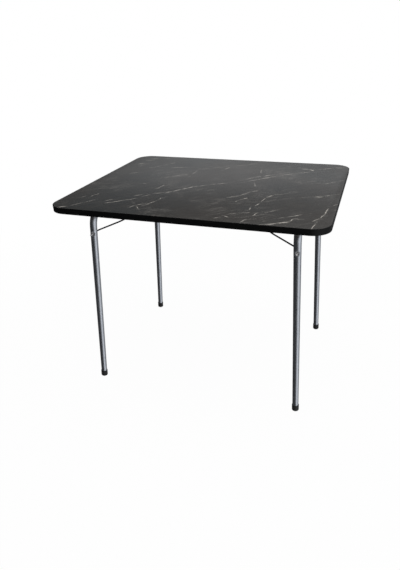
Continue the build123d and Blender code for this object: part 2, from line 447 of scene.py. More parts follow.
FAINT, CLEAR, BRIGHT = Tone
BROAD = 0.0036
MARBLE_VEINS = (
    # front left: the corner vein, the start of the long one and its side whiskers
    Vein(BRIGHT, ((-41, -37), (-38, -35)), BROAD),
    Vein(CLEAR, ((-38, -35), (-35, -30), (-33, -27))),
    Vein(FAINT, ((-39, -25), (-38, -24))),
    Vein(CLEAR, ((-36, -24), (-36, -22), (-35, -20))),
    Vein(BRIGHT, ((-28, -29), (-26, -28), (-23, -25))),
    Vein(CLEAR, ((-29, -27), (-27, -25))),
    Vein(CLEAR, ((-23, -25), (-20, -22))),
    Vein(CLEAR, ((-22, -20), (-20, -18))),
    Vein(CLEAR, ((-19, -20), (-17, -17))),
    Vein(CLEAR, ((-18, -32), (-17, -29), (-15, -27))),
    Vein(FAINT, ((-17, -29), (-14, -33))),
    Vein(CLEAR, ((-14, -28), (-12, -22), (-12, -20))),
    # the long vein's middle, and the strokes beside it
    Vein(CLEAR, ((-17, -16), (-13, -14), (-11, -12))),
    Vein(CLEAR, ((-11, -12), (-9, -9), (-7, -7), (-6, -5)), BROAD),
    Vein(CLEAR, ((-6, -5), (-4, -4), (-2, -2))),
    Vein(BRIGHT, ((-1, -1), (1, 0), (4, 2))),
    Vein(BRIGHT, ((-18, -10), (-17, -7), (-17, -5))),
    Vein(CLEAR, ((-26, -5), (-24, -5))),
    # back left
    Vein(CLEAR, ((-37, 7), (-33, 10))),
    Vein(BRIGHT, ((-40, 22), (-38, 24)), BROAD),
    Vein(CLEAR, ((-38, 19), (-37, 20))),
    Vein(CLEAR, ((-33, 17), (-31, 18), (-29, 22), (-27, 24))),
    Vein(CLEAR, ((-25, 19), (-17, 21))),
    Vein(BRIGHT, ((-27, 26), (-25, 27)), BROAD),
    Vein(BRIGHT, ((-39, 32), (-35, 33)), BROAD),
    Vein(CLEAR, ((-40, 29), (-36, 30)), BROAD),
    Vein(FAINT, ((-33, 33), (-29, 34))),
    Vein(CLEAR, ((-21, 4), (-19, 6), (-16, 9), (-13, 10))),
    # back middle
    Vein(FAINT, ((-12, 11), (-12, 17))),
    Vein(FAINT, ((-11, 19), (-8, 22), (-4, 25))),
    Vein(BRIGHT, ((-2, 21), (-1, 25))),
    Vein(FAINT, ((0, 27), (5, 30), (8, 34))),
    Vein(CLEAR, ((12, 24), (13, 18))),
    # the pair of long veins to the back right
    Vein(CLEAR, ((10, 9), (12, 12), (15, 14), (17, 17))),
    Vein(BRIGHT, ((11, 6), (14, 9), (18, 13))),
    Vein(BRIGHT, ((15, 11), (20, 16), (26, 21), (31, 24))),
    Vein(FAINT, ((14, 13), (19, 18), (22, 21))),
    Vein(BRIGHT, ((27, 28), (30, 28), (32, 26)), BROAD),
    Vein(BRIGHT, ((33, 28), (39, 32), (43, 33))),
    Vein(CLEAR, ((38, 9), (42, 13), (44, 15))),
    # middle right: the forked vein that climbs from the front
    Vein(CLEAR, ((14, 4), (15, 0))),
    Vein(CLEAR, ((9, -14), (12, -11), (15, -6), (17, -4))),
    Vein(BRIGHT, ((14, -14), (15, -13))),
    Vein(FAINT, ((12, -18), (13, -16))),
    Vein(CLEAR, ((18, -24), (18, -21))),
    Vein(BRIGHT, ((19, -20), (20, -17))),
    Vein(CLEAR, ((20, -16), (21, -11), (23, -8), (26, -6))),
    Vein(FAINT, ((31, -9), (35, -7), (39, -5), (42, -3))),
    Vein(FAINT, ((36, -8), (39, -6)), BROAD),
    # front middle
    Vein(BRIGHT, ((10, -34), (11, -33))),
    Vein(CLEAR, ((12, -31), (14, -32))),
    Vein(FAINT, ((13, -29), (15, -28))),
    Vein(CLEAR, ((17, -27), (19, -26))),
    Vein(BRIGHT, ((20, -29), (21, -26))),
    Vein(CLEAR, ((18, -35), (19, -32))),
    Vein(FAINT, ((23, -26), (24, -24), (26, -22))),
    # front right: the whiskers that run into the corner
    Vein(CLEAR, ((21, -37), (25, -35))),
    Vein(BRIGHT, ((25, -35), (28, -33), (31, -31)), BROAD),
    Vein(CLEAR, ((31, -31), (32, -28), (34, -28))),
    Vein(CLEAR, ((30, -27), (34, -24))),
    Vein(CLEAR, ((37, -35), (38, -30))),
    Vein(CLEAR, ((37, -29), (39, -26))),
    Vein(BRIGHT, ((39, -26), (40, -23), (41, -17))),
    Vein(CLEAR, ((42, -14), (44, -12))),
    Vein(CLEAR, ((43, -18), (44, -18))),
)


@dataclass(frozen=True)
class MarbleLaminate(Finish):
    """Satin laminate with a dark marble print: clouds, broken veins, specks and hairlines."""

    warm_ground: Colour = (0.034, 0.030, 0.027)
    cool_ground: Colour = (0.030, 0.032, 0.033)
    cloud_scale: float = 2.6
    cloud_levels: Pair = (0.36, 0.64)
    grain_angle: float = radians(38)
    mottle_colour: Colour = (0.050, 0.047, 0.043)
    mottle_share: float = 0.55
    mottle_scale: float = 22.0
    mottle_stretch: Triple = (1.0, 2.8, 1.0)
    mottle_levels: Pair = (0.35, 0.75)
    vein_colour: Colour = (0.52, 0.485, 0.44)
    ragged_scale: float = 230.0
    ragged_cut: float = 0.20
    swell_scale: float = 46.0
    swell_levels: Pair = (0.34, 0.62)
    swell_gain: float = 1.2
    thin_gain: float = 0.85
    beside_levels: Pair = (-1.5, -0.1)
    wander: float = 0.009
    wander_scale: float = 40.0
    stroke_reach: float = 1.25
    deep: float = 1e4
    drawn_together: int = 30
    later_pull: Triple = (0.0002, -0.0002, 0.0)
    hairline_colour: Colour = (0.20, 0.19, 0.175)
    hairline_share: float = 0.7
    hairline_scale: float = 9.0
    hairline_stretch: Triple = (1.0, 5.0, 1.0)
    hairline_sharpness: float = 34.0
    hairline_levels: Pair = (0.46, 0.66)
    hairline_far_share: float = 0.7
    speck_scale: float = 105.0
    speck_levels: Pair = (0.09, 0.17)
    speck_share: float = 0.22
    dusted_scale: float = 12.0
    dusted_levels: Pair = (0.54, 0.64)
    dusted_beside: float = 0.8
    roughness: float = 0.31
    smudge_scale: float = 5.0
    smudge_haze: float = 0.10
    pore_scale: float = 900.0
    pore_haze: float = 0.05
    pore_depth: float = 0.00004
    pore_strength: float = 0.35

    def _drawn_veins(self, sheet: NodeSheet) -> Value:
        """How near a point is to the drawn veins: their strength on the line, below 0 off it.

        The veins are drawn a few dozen at a time, and each batch pulls the next a hair aside. That
        makes Cycles work through them in turn, where all at once would fill its shader stack.

        Args:
            sheet: The node sheet.

        Returns:
            The strength of the nearest vein.
        """
        lumps = {"Vector": sheet.place, "Scale": self.wander_scale, "Detail": 5.0}
        sway = sheet.node("TexNoise", sockets=lumps).outputs["Color"]
        shift = sheet.vector("SUBTRACT", sway, (0.5, 0.5, 0.5))
        swayed = sheet.vector("MULTIPLY_ADD", shift, (self.wander, self.wander, 0.0), sheet.place)
        total = None
        for count, vein in enumerate(MARBLE_VEINS, start=1):
            corners = [Vector(corner) * SQUARE for corner in vein.corners]
            for start, end in zip(corners, corners[1:]):
                stroke = self._stroke(sheet, swayed, start, end, vein)
                total = stroke if total is None else total.larger(stroke)
            if count % self.drawn_together == 0:
                swayed = sheet.vector("MULTIPLY_ADD", total, self.later_pull, swayed)
        return total

    def _stroke(self, sheet: NodeSheet, at: bpy.types.NodeSocket, start: Vector, end: Vector,
                vein: Vein) -> Value:
        """One run of a vein, as a stroke that thins towards its ends.

        Args:
            sheet: The node sheet.
            at: The swayed point of the table top.
            start: Where the run starts.
            end: Where it ends.
            vein: Its tone and width.

        Returns:
            Its strength at the point, which falls past nothing round it.
        """
        run, half_width, strength = end - start, vein.half_width, vein.tone.value
        sockets = {
            "Vector": at,
            "Location": ((start + end) / 2).to_3d(),
            "Rotation": (0.0, 0.0, atan2(run.y, run.x)),
            "Scale": (run.length / 2 * self.stroke_reach + half_width / 2, half_width, self.deep),
        }
        local = sheet.node("Mapping", {"vector_type": "TEXTURE"}, sockets).outputs[0]
        off = sheet.vector("LENGTH", local, output="Value")
        return sheet.maths("MULTIPLY_ADD", off, -strength, strength)

    def _hairlines(self, sheet: NodeSheet, near: Value) -> Value:
        """Fine faint lines that run with the grain of the stone.

        Args:
            sheet: The node sheet.
            near: 1 beside the drawn veins, where the lines gather, and 0 away from them.

        Returns:
            Their strength at the point.
        """
        along = sheet.stretched(self.hairline_stretch, -self.grain_angle)
        wave = sheet.noise(self.hairline_scale, 6.0, along, 0.62)
        line = sheet.creases(wave, self.hairline_sharpness)
        patch = sheet.patches(self.hairline_scale, 3.0, self.hairline_levels)
        where = (patch * self.hairline_far_share).larger(near)
        return sheet.maths("MULTIPLY", line, where, clamp=True)

    def paint(self, sheet: NodeSheet) -> None:
        """Write the laminate's nodes.

        Args:
            sheet: The empty node sheet of its material.
        """
        clouds = sheet.patches(self.cloud_scale, 4.0, self.cloud_levels)
        ground = sheet.mix(clouds, self.warm_ground, self.cool_ground)
        along = sheet.stretched(self.mottle_stretch, -self.grain_angle)
        mottle = sheet.patches(self.mottle_scale, 6.0, self.mottle_levels, at=along)
        stone = sheet.mix(mottle * self.mottle_share, ground, self.mottle_colour)
        drawn = self._drawn_veins(sheet)
        near = sheet.fade(drawn, *self.beside_levels)
        hairlines = self._hairlines(sheet, near) * self.hairline_share
        faint = sheet.mix(hairlines, stone, self.hairline_colour)
        broken = drawn - self.ragged_cut * sheet.noise(self.ragged_scale, 3.0)
        swells = self.swell_gain * sheet.patches(self.swell_scale, 2.0, self.swell_levels)
        core = sheet.maths("MULTIPLY", broken, self.thin_gain + swells, clamp=True)
        dusted = sheet.patches(self.dusted_scale, 3.0, self.dusted_levels)
        dusted = dusted.larger(near * self.dusted_beside)
        specks = sheet.dots(self.speck_scale, self.speck_levels) * dusted * self.speck_share
        smudge = sheet.noise(self.smudge_scale, 4.0)
        pores = sheet.noise(self.pore_scale, 2.0)
        sheet.surface(
            base_color=sheet.mix(core.larger(specks), faint, self.vein_colour),
            roughness=self.roughness + self.smudge_haze * smudge + self.pore_haze * pores,
            normal=sheet.bump(pores, self.pore_depth, self.pore_strength),
        )


@dataclass(frozen=True)
class EdgePlastic(Finish):
    """Near-black edge band with a fine moulded grain and pale rubbed streaks in patches."""

    colour: Colour = (0.0018, 0.0018, 0.0021)
    gloss: float = 0.17
    roughness: float = 0.46
    streak_scale: float = 20.0
    streak_stretch: Triple = (1.0, 1.0, 26.0)
    streak_levels: Pair = (0.58, 0.72)
    streak_haze: float = 0.12
    rubbed: Colour = (0.030, 0.029, 0.028)
    rub_share: float = 0.40
    rub_scale: float = 11.0
    rub_levels: Pair = (0.46, 0.66)
    rub_haze: float = 0.10
    grain_scale: float = 1500.0
    grain_depth: float = 0.00006
    grain_strength: float = 0.45

    def paint(self, sheet: NodeSheet) -> None:
        """Write the band's nodes.

        Args:
            sheet: The empty node sheet of its material.
        """
        grain = sheet.noise(self.grain_scale, 2.0)
        streaks = sheet.noise(self.streak_scale, 5.0, sheet.stretched(self.streak_stretch))
        rubs = sheet.fade(streaks, *self.streak_levels)
        rubs = rubs * sheet.patches(self.rub_scale, 3.0, self.rub_levels)
        sheet.surface(
            base_color=sheet.mix(rubs * self.rub_share, self.colour, self.rubbed),
            roughness=self.roughness + self.streak_haze * streaks + self.rub_haze * rubs,
            specular_ior_level=self.gloss,
            normal=sheet.bump(grain + streaks * 0.5, self.grain_depth, self.grain_strength),
        )


@dataclass(frozen=True)
class BackingSheet(Finish):
    """Plain brown-black backing sheet with a sanded, papery mottle."""

    colour: Colour = (0.105, 0.082, 0.064)
    darker: Colour = (0.070, 0.055, 0.045)
    roughness: float = 0.62
    blotch_scale: float = 8.0
    blotch_share: float = 0.6
    mottle_levels: Pair = (0.38, 0.62)
    fibre_scale: float = 60.0
    fibre_stretch: Triple = (1.0, 14.0, 1.0)
    fibre_haze: float = 0.18
    fibre_depth: float = 0.00008
    fibre_strength: float = 0.5
    scuffed: Colour = (0.20, 0.17, 0.14)
    scuff_share: float = 0.35
    scuff_scale: float = 24.0
    scuff_stretch: Triple = (1.0, 9.0, 1.0)
    scuff_turn: float = radians(17)
    scuff_levels: Pair = (0.66, 0.74)

    def paint(self, sheet: NodeSheet) -> None:
        """Write the backing's nodes.

        Args:
            sheet: The empty node sheet of its material.
        """
        fibres = sheet.noise(self.fibre_scale, 6.0, sheet.stretched(self.fibre_stretch), 0.6)
        blotches = sheet.noise(self.blotch_scale, 5.0)
        across = sheet.stretched(self.scuff_stretch, self.scuff_turn)
        scuffs = sheet.patches(self.scuff_scale, 6.0, self.scuff_levels, at=across)
        both = blotches * self.blotch_share + fibres * (1 - self.blotch_share)
        tone = sheet.mix(sheet.fade(both, *self.mottle_levels), self.darker, self.colour)
        sheet.surface(
            base_color=sheet.mix(scuffs * self.scuff_share, tone, self.scuffed),
            roughness=self.roughness + self.fibre_haze * fibres,
            normal=sheet.bump(fibres, self.fibre_depth, self.fibre_strength),
        )


@dataclass(frozen=True)
class Chipboard(Finish):
    """Raw chipboard: pressed chips of pale and dark wood."""

    pale: Colour = (0.52, 0.37, 0.21)
    dark: Colour = (0.26, 0.16, 0.08)
    roughness: float = 0.85
    chip_share: float = 0.7
    chip_scale: float = 420.0
    chip_stretch: Triple = (1.0, 0.6, 2.0)
    chip_depth: float = 0.0003
    chip_strength: float = 0.6
    dust_scale: float = 700.0

    def paint(self, sheet: NodeSheet) -> None:
        """Write the chipboard's nodes.

        Args:
            sheet: The empty node sheet of its material.
        """
        chips = sheet.cells(self.chip_scale, "Color", sheet.stretched(self.chip_stretch))
        dust = sheet.noise(self.dust_scale, 3.0)
        both = chips * self.chip_share + dust * (1 - self.chip_share)
        sheet.surface(
            base_color=sheet.mix(both, self.dark, self.pale),
            roughness=self.roughness,
            normal=sheet.bump(chips + dust, self.chip_depth, self.chip_strength),
        )


@dataclass(frozen=True)
class BareMetal(Finish):
    """Metal with drawn lines along one axis, hazy patches, small scratches and spots."""

    colour: Colour = (0.55, 0.57, 0.60)
    shine: float = 1.0
    stained: Colour = (0.40, 0.41, 0.43)
    stain_share: float = 0.6
    stain_scale: float = 38.0
    stain_levels: Pair = (0.52, 0.70)
    roughness: float = 0.30
    haze: float = 0.12
    haze_scale: float = 16.0
    line_stretch: Triple = (900.0, 900.0, 14.0)
    line_depth: float = 0.00002
    line_strength: float = 0.5
    scratch_scale: float = 55.0
    scratch_stretch: Triple = (1.0, 1.0, 7.0)
    scratch_turn: float = radians(35)
    scratch_sharpness: float = 60.0
    scratch_levels: Pair = (0.2, 0.9)
    scratch_haze: float = 0.10
    scratch_height: float = 0.6
    spots: float = 0.25
    spot_colour: Colour = (0.16, 0.13, 0.11)
    spot_scale: float = 260.0
    spot_levels: Pair = (0.10, 0.16)
    spotted_scale: float = 21.0
    spotted_levels: Pair = (0.56, 0.64)
    dirt_share: float = 0.8
    dirt_haze: float = 0.35
    # colours of painted shade and painted highlights, used only where a finish places them
    black_colour: Colour = (0.004, 0.004, 0.005)
    burr_colour: Colour = (0.90, 0.90, 0.92)

    def grime(self, sheet: NodeSheet) -> tuple[Value, Value] | None:
        """Where painted shade and painted highlights go on the metal: nowhere, unless a finish says so."""
        return None

    def paint(self, sheet: NodeSheet) -> None:
        """Write the metal's nodes.

        Args:
            sheet: The empty node sheet of its material.
        """
        lines = sheet.noise(1.0, 3.0, sheet.stretched(self.line_stretch))
        cloud = sheet.noise(self.haze_scale, 5.0)
        stain = sheet.patches(self.stain_scale, 6.0, self.stain_levels, roughness=0.6)
        across = sheet.stretched(self.scratch_stretch, self.scratch_turn)
        crease = sheet.creases(sheet.noise(self.scratch_scale, 3.0, across), self.scratch_sharpness)
        scratches = sheet.fade(crease, *self.scratch_levels)
        dots = sheet.dots(self.spot_scale, self.spot_levels)
        spots = dots * sheet.patches(self.spotted_scale, 3.0, self.spotted_levels) * self.spots
        tone = sheet.mix(stain * self.stain_share, self.colour, self.stained)
        metal_colour = sheet.mix(spots, tone, self.spot_colour)
        dirt_and_painted_light = spots * self.dirt_share
        # painted shade in holes and painted highlights round them are mixed into the colour, and also take off
        # shine and add roughness
        hole_shade_and_highlights = self.grime(sheet)
        if hole_shade_and_highlights is not None:
            black, painted_highlights = hole_shade_and_highlights
            metal_colour = sheet.mix(black, metal_colour, self.black_colour)
            metal_colour = sheet.mix(painted_highlights, metal_colour, self.burr_colour)
            dirt_and_painted_light = dirt_and_painted_light.larger(black).larger(painted_highlights * self.dirt_share)
        rough = self.roughness + self.haze * cloud + self.scratch_haze * scratches
        height = lines + scratches * self.scratch_height
        sheet.surface(
            base_color=metal_colour,
            metallic=self.shine - self.shine * dirt_and_painted_light,
            roughness=rough + self.dirt_haze * dirt_and_painted_light,
            normal=sheet.bump(height, self.line_depth, self.line_strength),
        )


@dataclass(frozen=True)
class PinnedTube(BareMetal):
    """Plated tube with painted shade in and round the holes that the ends of a wire stay come out of, and painted
    highlights on their rims.
    """

    pin: Pair = (0.0, 0.0)
    # the hole is a disc of painted shade, with a ragged patch of painted shade round it and a ring of painted
    # highlights on its rim
    hole_radius: float = 0.0040
    hole_edge: float = 0.0004
    burr_radius: float = 0.0068
    burr_edges: Pair = (0.0006, 0.0010)
    burr_scale: float = 300.0
    burr_levels: Pair = (0.47, 0.56)
    smear_radius: float = 0.0120
    smear_scale: float = 420.0
    smear_levels: Pair = (0.36, 0.62)
    smear_share: float = 0.85

    def grime(self, sheet: NodeSheet) -> tuple[Value, Value]:
        """Painted shade in the holes and round them, with painted highlights on their rims.

        Args:
            sheet: The node sheet.

        Returns:
            Where the metal is black, and where it is burred.
        """
        x, _, z = sheet.axes
        aside, above = abs(x) - self.pin[0], z - self.pin[1]
        apart = sheet.maths("SQRT", aside * aside + above * above)
        # painted shade fills the hole round the pin, and ragged painted shade spreads round it
        hole = 1.0 - sheet.fade(apart, self.hole_radius, self.hole_radius + self.hole_edge)
        dent_shade = 1.0 - sheet.fade(apart, self.hole_radius, self.smear_radius)
        ragged_dent_shade = dent_shade * sheet.patches(self.smear_scale, 3.0, self.smear_levels) * self.smear_share
        # a patchy ring of painted highlights just outside the hole
        inner, outer = self.burr_edges
        rim = sheet.fade(apart, self.hole_radius, self.hole_radius + inner)
        rim = rim - rim * sheet.fade(apart, self.burr_radius - outer, self.burr_radius)
        highlight_patches = rim * sheet.patches(self.burr_scale, 2.0, self.burr_levels)
        return hole.larger(ragged_dent_shade), highlight_patches


@dataclass(frozen=True)
class ZincSheet(Finish):
    """Zinc plated pressings: a soft frosted plate with faint yellow and blue passivation."""

    yellow: Colour = (0.62, 0.59, 0.50)
    blue: Colour = (0.53, 0.56, 0.60)
    drift_scale: float = 70.0
    drift_levels: Pair = (0.38, 0.62)
    dull: Colour = (0.33, 0.33, 0.32)
    dull_share: float = 0.7
    dull_scale: float = 130.0
    dull_levels: Pair = (0.50, 0.72)
    dull_haze: float = 0.20
    roughness: float = 0.34
    frost_scale: float = 520.0
    frost_haze: float = 0.10
    frost_depth: float = 0.00003
    frost_strength: float = 0.5
    grain_scale: float = 900.0

    def paint(self, sheet: NodeSheet) -> None:
        """Write the plate's nodes.

        Args:
            sheet: The empty node sheet of its material.
        """
        drift = sheet.patches(self.drift_scale, 4.0, self.drift_levels)
        frost = sheet.cells(self.frost_scale, "Color")
        dulled = sheet.patches(self.dull_scale, 6.0, self.dull_levels, roughness=0.6)
        plate = sheet.mix(drift, self.blue, self.yellow)
        height = frost + sheet.noise(self.grain_scale)
        sheet.surface(
            base_color=sheet.mix(dulled * self.dull_share, plate, self.dull),
            metallic=1.0,
            roughness=self.roughness + self.frost_haze * frost + self.dull_haze * dulled,
            normal=sheet.bump(height, self.frost_depth, self.frost_strength),
        )


@dataclass(frozen=True)
class Rubber(Finish):
    """Matte black rubber or nylon, dusty where it meets the floor."""

    colour: Colour = (0.011, 0.011, 0.012)
    roughness: float = 0.62
    dusty: Colour = (0.085, 0.080, 0.073)
    dust_height: float = 0.006
    dust_share: float = 0.55
    dust_everywhere: float = 0.12
    dust_haze: float = 0.25
    clump_scale: float = 240.0
    clump_levels: Pair = (0.40, 0.68)
    clump_height: float = 0.6
    grain_scale: float = 1300.0
    grain_haze: float = 0.08
    grain_depth: float = 0.00008
    grain_strength: float = 0.5

    def paint(self, sheet: NodeSheet) -> None:
        """Write the rubber's nodes.

        Args:
            sheet: The empty node sheet of its material.
        """
        low = 1.0 - sheet.fade(sheet.axes[2], 0.0, self.dust_height)
        clumps = sheet.noise(self.clump_scale, 5.0, roughness=0.65)
        dust = low * self.dust_share + self.dust_everywhere
        dust = dust * sheet.fade(clumps, *self.clump_levels)
        grain = sheet.noise(self.grain_scale, 2.0)
        height = grain + clumps * self.clump_height
        sheet.surface(
            base_color=sheet.mix(dust, self.colour, self.dusty),
            roughness=self.roughness + self.dust_haze * dust + self.grain_haze * grain,
            normal=sheet.bump(height, self.grain_depth, self.grain_strength),
        )


MARBLE = MarbleLaminate("marble_laminate_print", "marble_laminate")
EDGE = EdgePlastic("edge_plastic_grain", "edge_plastic")
BACKING = BackingSheet("backing_sheet", "backing")
CHIPS = Chipboard("chipboard_raw", "chipboard")
TUBE = PinnedTube(
    "plated_tube_satin", "plated_tube", colour=(0.50, 0.52, 0.56), stained=(0.40, 0.42, 0.46),
    pin=pin_place(),
)
# the stay is one plated steel wire: its body is painted near-black as shade, and its ends past the legs near-white
# as painted highlights
SHADED_WIRE = BareMetal(
    "stay_wire_dark", "stay_wire", colour=(0.022, 0.022, 0.024), stained=(0.012, 0.012, 0.013),
    roughness=0.46, spots=0.5,
)
HIGHLIT_WIRE_END = BareMetal(
    "stay_wire_cut_end", "stay_wire", colour=(0.95, 0.95, 0.96), stained=(0.86, 0.86, 0.87),
    roughness=0.40, spots=0.1, shine=0.25,
)
PRESSED = ZincSheet("pressed_zinc_sheet", "pressed_steel")
SCREW = ZincSheet("screw_zinc", "screw_steel", yellow=(0.64, 0.59, 0.47), roughness=0.28)
RUBBER = Rubber("foot_rubber_matte", "foot_rubber")
NYLON = Rubber(
    "bush_nylon_moulded", "bush_nylon", colour=(0.018, 0.018, 0.019), roughness=0.44,
    dust_height=0.001, dust_share=0.0,
)


class Puller:
    """Pulls a leading point or edge through a mesh, along straight runs and round bends."""

    def __init__(self, mesh: Mesh, front: list, steps: int) -> None:
        """Take hold of the geometry that leads.

        Args:
            mesh: The mesh that holds it.
            front: Its vertices and edges.
            steps: Steps in each bend of a quarter turn.
        """
        self.mesh = mesh
        self.front = front
        self.steps = steps

    def pull(self, run: Vector) -> None:
        """Pull the front straight along a vector, unless that has no length.

        Args:
            run: How far and which way it is pulled.
        """
        if run.length > HAIR:
            pulled = bmesh.ops.spin(
                self.mesh, geom=self.front, cent=(0, 0, 0), axis=(0, 0, 1),
                dvec=run, angle=0.0, steps=1, use_merge=False,
            )
            self.front = pulled["geom_last"]

    def turn(self, centre: Vector, axis: Vector, angle: float) -> None:
        """Pull the front round a centre.

        Args:
            centre: A point on the axis.
            axis: The axis that it turns about.
            angle: The turn in radians.
        """
        steps = max(FEWEST_BEND_STEPS, round(self.steps * angle / (pi / 2)))
        turned = bmesh.ops.spin(
            self.mesh, geom=self.front, cent=centre, axis=axis,
            dvec=(0, 0, 0), angle=angle, steps=steps, use_merge=False,
        )
        self.front = turned["geom_last"]

    def follow(self, points: Sequence[Vector], radii: Sequence[float]) -> None:
        """Pull the front along a path of corners.

        Args:
            points: The path's start, its corners and its end.
            radii: The radius at each corner, 0 where it is sharp.
        """
        here = points[0]
        for before, corner, after, radius in zip(points, points[1:], points[2:], radii):
            inward = (corner - before).normalized()
            outward = (after - corner).normalized()
            angle = inward.angle(outward)
            if radius == 0 or angle < HAIR:
                self.pull(corner - here)
                here = corner
                continue
            reach = radius * tan(angle / 2)
            axis = inward.cross(outward).normalized()
            start = corner - inward * reach
            self.pull(start - here)
            self.turn(start + axis.cross(inward) * radius, axis, angle)
            here = corner + outward * reach
        self.pull(points[-1] - here)

    def taper(self, scale: float, run: Vector) -> None:
        """Pull the front a short way and shrink it about its own middle.

        Args:
            scale: Its new size, as a share of the old.
            run: How far it is pulled.
        """
        grown = bmesh.ops.extrude_edge_only(self.mesh, edges=edges_of(self.front))["geom"]
        points = verts_of(grown)
        middle = sum((point.co for point in points), Vector()) / len(points)
        about = Matrix.Translation(-middle)
        bmesh.ops.scale(self.mesh, vec=(scale,) * 3, space=about, verts=points)
        bmesh.ops.translate(self.mesh, vec=run, verts=points)
        self.front = [item for item in grown if not isinstance(item, bmesh.types.BMFace)]

    def close(self) -> None:
        """Close the front with one flat face."""
        bmesh.ops.edgeloop_fill(self.mesh, edges=edges_of(self.front))


def edges_of(items: Sequence[Any]) -> list[Edge]:
    """The edges among some mesh elements."""
    return [item for item in items if isinstance(item, Edge)]


def verts_of(items: Sequence[Any]) -> list[bmesh.types.BMVert]:
    """The vertices among some mesh elements."""
    return [item for item in items if isinstance(item, bmesh.types.BMVert)]


def thicken(mesh: Mesh, outline: list, run: Vector) -> None:
    """Fill an outline with one face and extrude it, so that both sides are closed.

    Args:
        mesh: The mesh that holds it.
        outline: Its vertices and edges.
        run: How far and which way it is extruded.
    """
    sheet = bmesh.ops.edgeloop_fill(mesh, edges=edges_of(outline))["faces"]
    grown = bmesh.ops.extrude_face_region(mesh, geom=sheet, use_keep_orig=True)["geom"]
    bmesh.ops.translate(mesh, vec=run, verts=verts_of(grown))


def bevel(mesh: Mesh, edges: list[Edge], offset: float, segments: int) -> None:
    """Bevel some edges of a mesh, by an offset and in a number of segments."""
    bmesh.ops.bevel(mesh, geom=edges, offset=offset, segments=segments, profile=0.5,
                    affect="EDGES", material=-1)


def ring(mesh: Mesh, centre: Vector, along: Vector, radius: float, sides: int) -> list:
    """Start a round section.

    Args:
        mesh: The mesh to start it in.
        centre: Its centre.
        along: The direction that it faces.
        radius: Its radius.
        sides: How many sides stand for the circle.

    Returns:
        Its vertices and edges.
    """
    facing = Matrix.Translation(centre) @ along.to_track_quat("Z", "Y").to_matrix().to_4x4()
    points = bmesh.ops.create_circle(mesh, segments=sides, radius=radius, matrix=facing)["verts"]
    return points + list({edge for point in points for edge in point.link_edges})


def closed_outline(mesh: Mesh, corners: Sequence[Vector], radii: Sequence[float],
                   steps: int) -> list:
    """Draw a closed outline with rounded corners.

    Args:
        mesh: The mesh to draw it in.
        corners: Its corners, in order.
        radii: The radius at each corner.
        steps: Steps in each quarter turn.

    Returns:
        Its vertices and edges.
    """
    middle = (corners[0] + corners[-1]) / 2
    start = bmesh.ops.create_vert(mesh, co=middle)["vert"][0]
    puller = Puller(mesh, [start], steps)
    puller.follow([middle, *corners, middle], radii)
    bmesh.ops.remove_doubles(mesh, verts=mesh.verts[:], dist=JOIN)
    return mesh.verts[:] + mesh.edges[:]


def rounded_rectangle(half_length: float, half_width: float, height: float) -> list[Vector]:
    """The corners of a level rectangle about the origin, from the back left one by the front."""
    signs = ((-1, 1), (-1, -1), (1, -1), (1, 1))
    return [Vector((x * half_length, y * half_width, height)) for x, y in signs]


def strip_outline(points: Sequence[Vector], radii: Sequence[float],
                  thickness: float) -> tuple[list[Vector], list[float]]:
    """Outline of a bent strip, from the line along the middle of its thickness.

    Args:
        points: The middle line's start, corners and end, in two dimensions.
        radii: The middle line's radius at each corner.
        thickness: The strip's thickness.

    Returns:
        The outline's corners, and the radius at each.
    """
    runs = [(after - before).normalized() for before, after in zip(points, points[1:])]
    normals = [Vector((-run.y, run.x)) for run in runs]
    half = thickness / 2
    sides: dict[int, tuple[list, list]] = {}
    for hand in (1, -1):
        corners = [points[0] + normals[0] * half * hand]
        rounds = [0.0]
        for corner, radius, one, two in zip(points[1:], radii, normals, normals[1:]):
            turn = 1 if one.cross(two) > 0 else -1
            corners.append(corner + (one + two) / (1 + one.dot(two)) * half * hand)
            rounds.append(radius - turn * hand * half)
        corners.append(points[-1] + normals[-1] * half * hand)
        rounds.append(0.0)
        sides[hand] = (corners, rounds)
    return sides[1][0] + sides[-1][0][::-1], sides[1][1] + sides[-1][1][::-1]


def upright(at: Vector, across: int) -> Matrix:
    """The matrix that stands a flat outline up at a point, its X along the table's or against."""
    return Matrix(((across, 0, 0, at.x), (0, 0, 1, at.y), (0, 1, 0, at.z), (0, 0, 0, 1)))


def placed(name: str, data: bpy.types.ID) -> bpy.types.Object:
    """Put a new object in the scene.

    Args:
        name: The object's name.
        data: The mesh, light or camera that it shows.

    Returns:
        The object.
    """
    made = bpy.data.objects.new(name, data)
    bpy.context.scene.collection.objects.link(made)
    return made


@dataclass
class Piece:
    """One separate piece of the table, with what it moves with and how it is finished."""

    name: str
    body: str
    stands_for: str
    finishes: tuple[Finish, ...]

    @cached_property
    def box(self) -> Box:
        """The lowest and highest corners of the node that the piece stands for."""
        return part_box(self.stands_for)

    def shape(self, mesh: Mesh) -> None:
        """Build the piece's mesh where the piece lies.

        Args:
            mesh: The empty mesh to build it in.
        """
        raise NotImplementedError

    def make(self) -> bpy.types.Object:
        """Build the piece, finish it and hang it on its body.

        Returns:
            The finished object.
        """
        mesh = bmesh.new()
        self.shape(mesh)
        bmesh.ops.remove_doubles(mesh, verts=mesh.verts[:], dist=HAIR)
        bmesh.ops.recalc_face_normals(mesh, faces=mesh.faces[:])
        data = bpy.data.meshes.new(self.name)
        mesh.to_mesh(data)
        mesh.free()
        data.shade_smooth()
        data.set_sharp_from_angle(angle=SMOOTH_BELOW)
        for finish in self.finishes:
            data.materials.append(finish.material)
        made = placed(self.name, data)
        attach(made, self.body)
        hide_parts(self.stands_for)
        log.info("%s: %d faces, rides on %s", self.name, len(data.polygons), self.body)
        return made


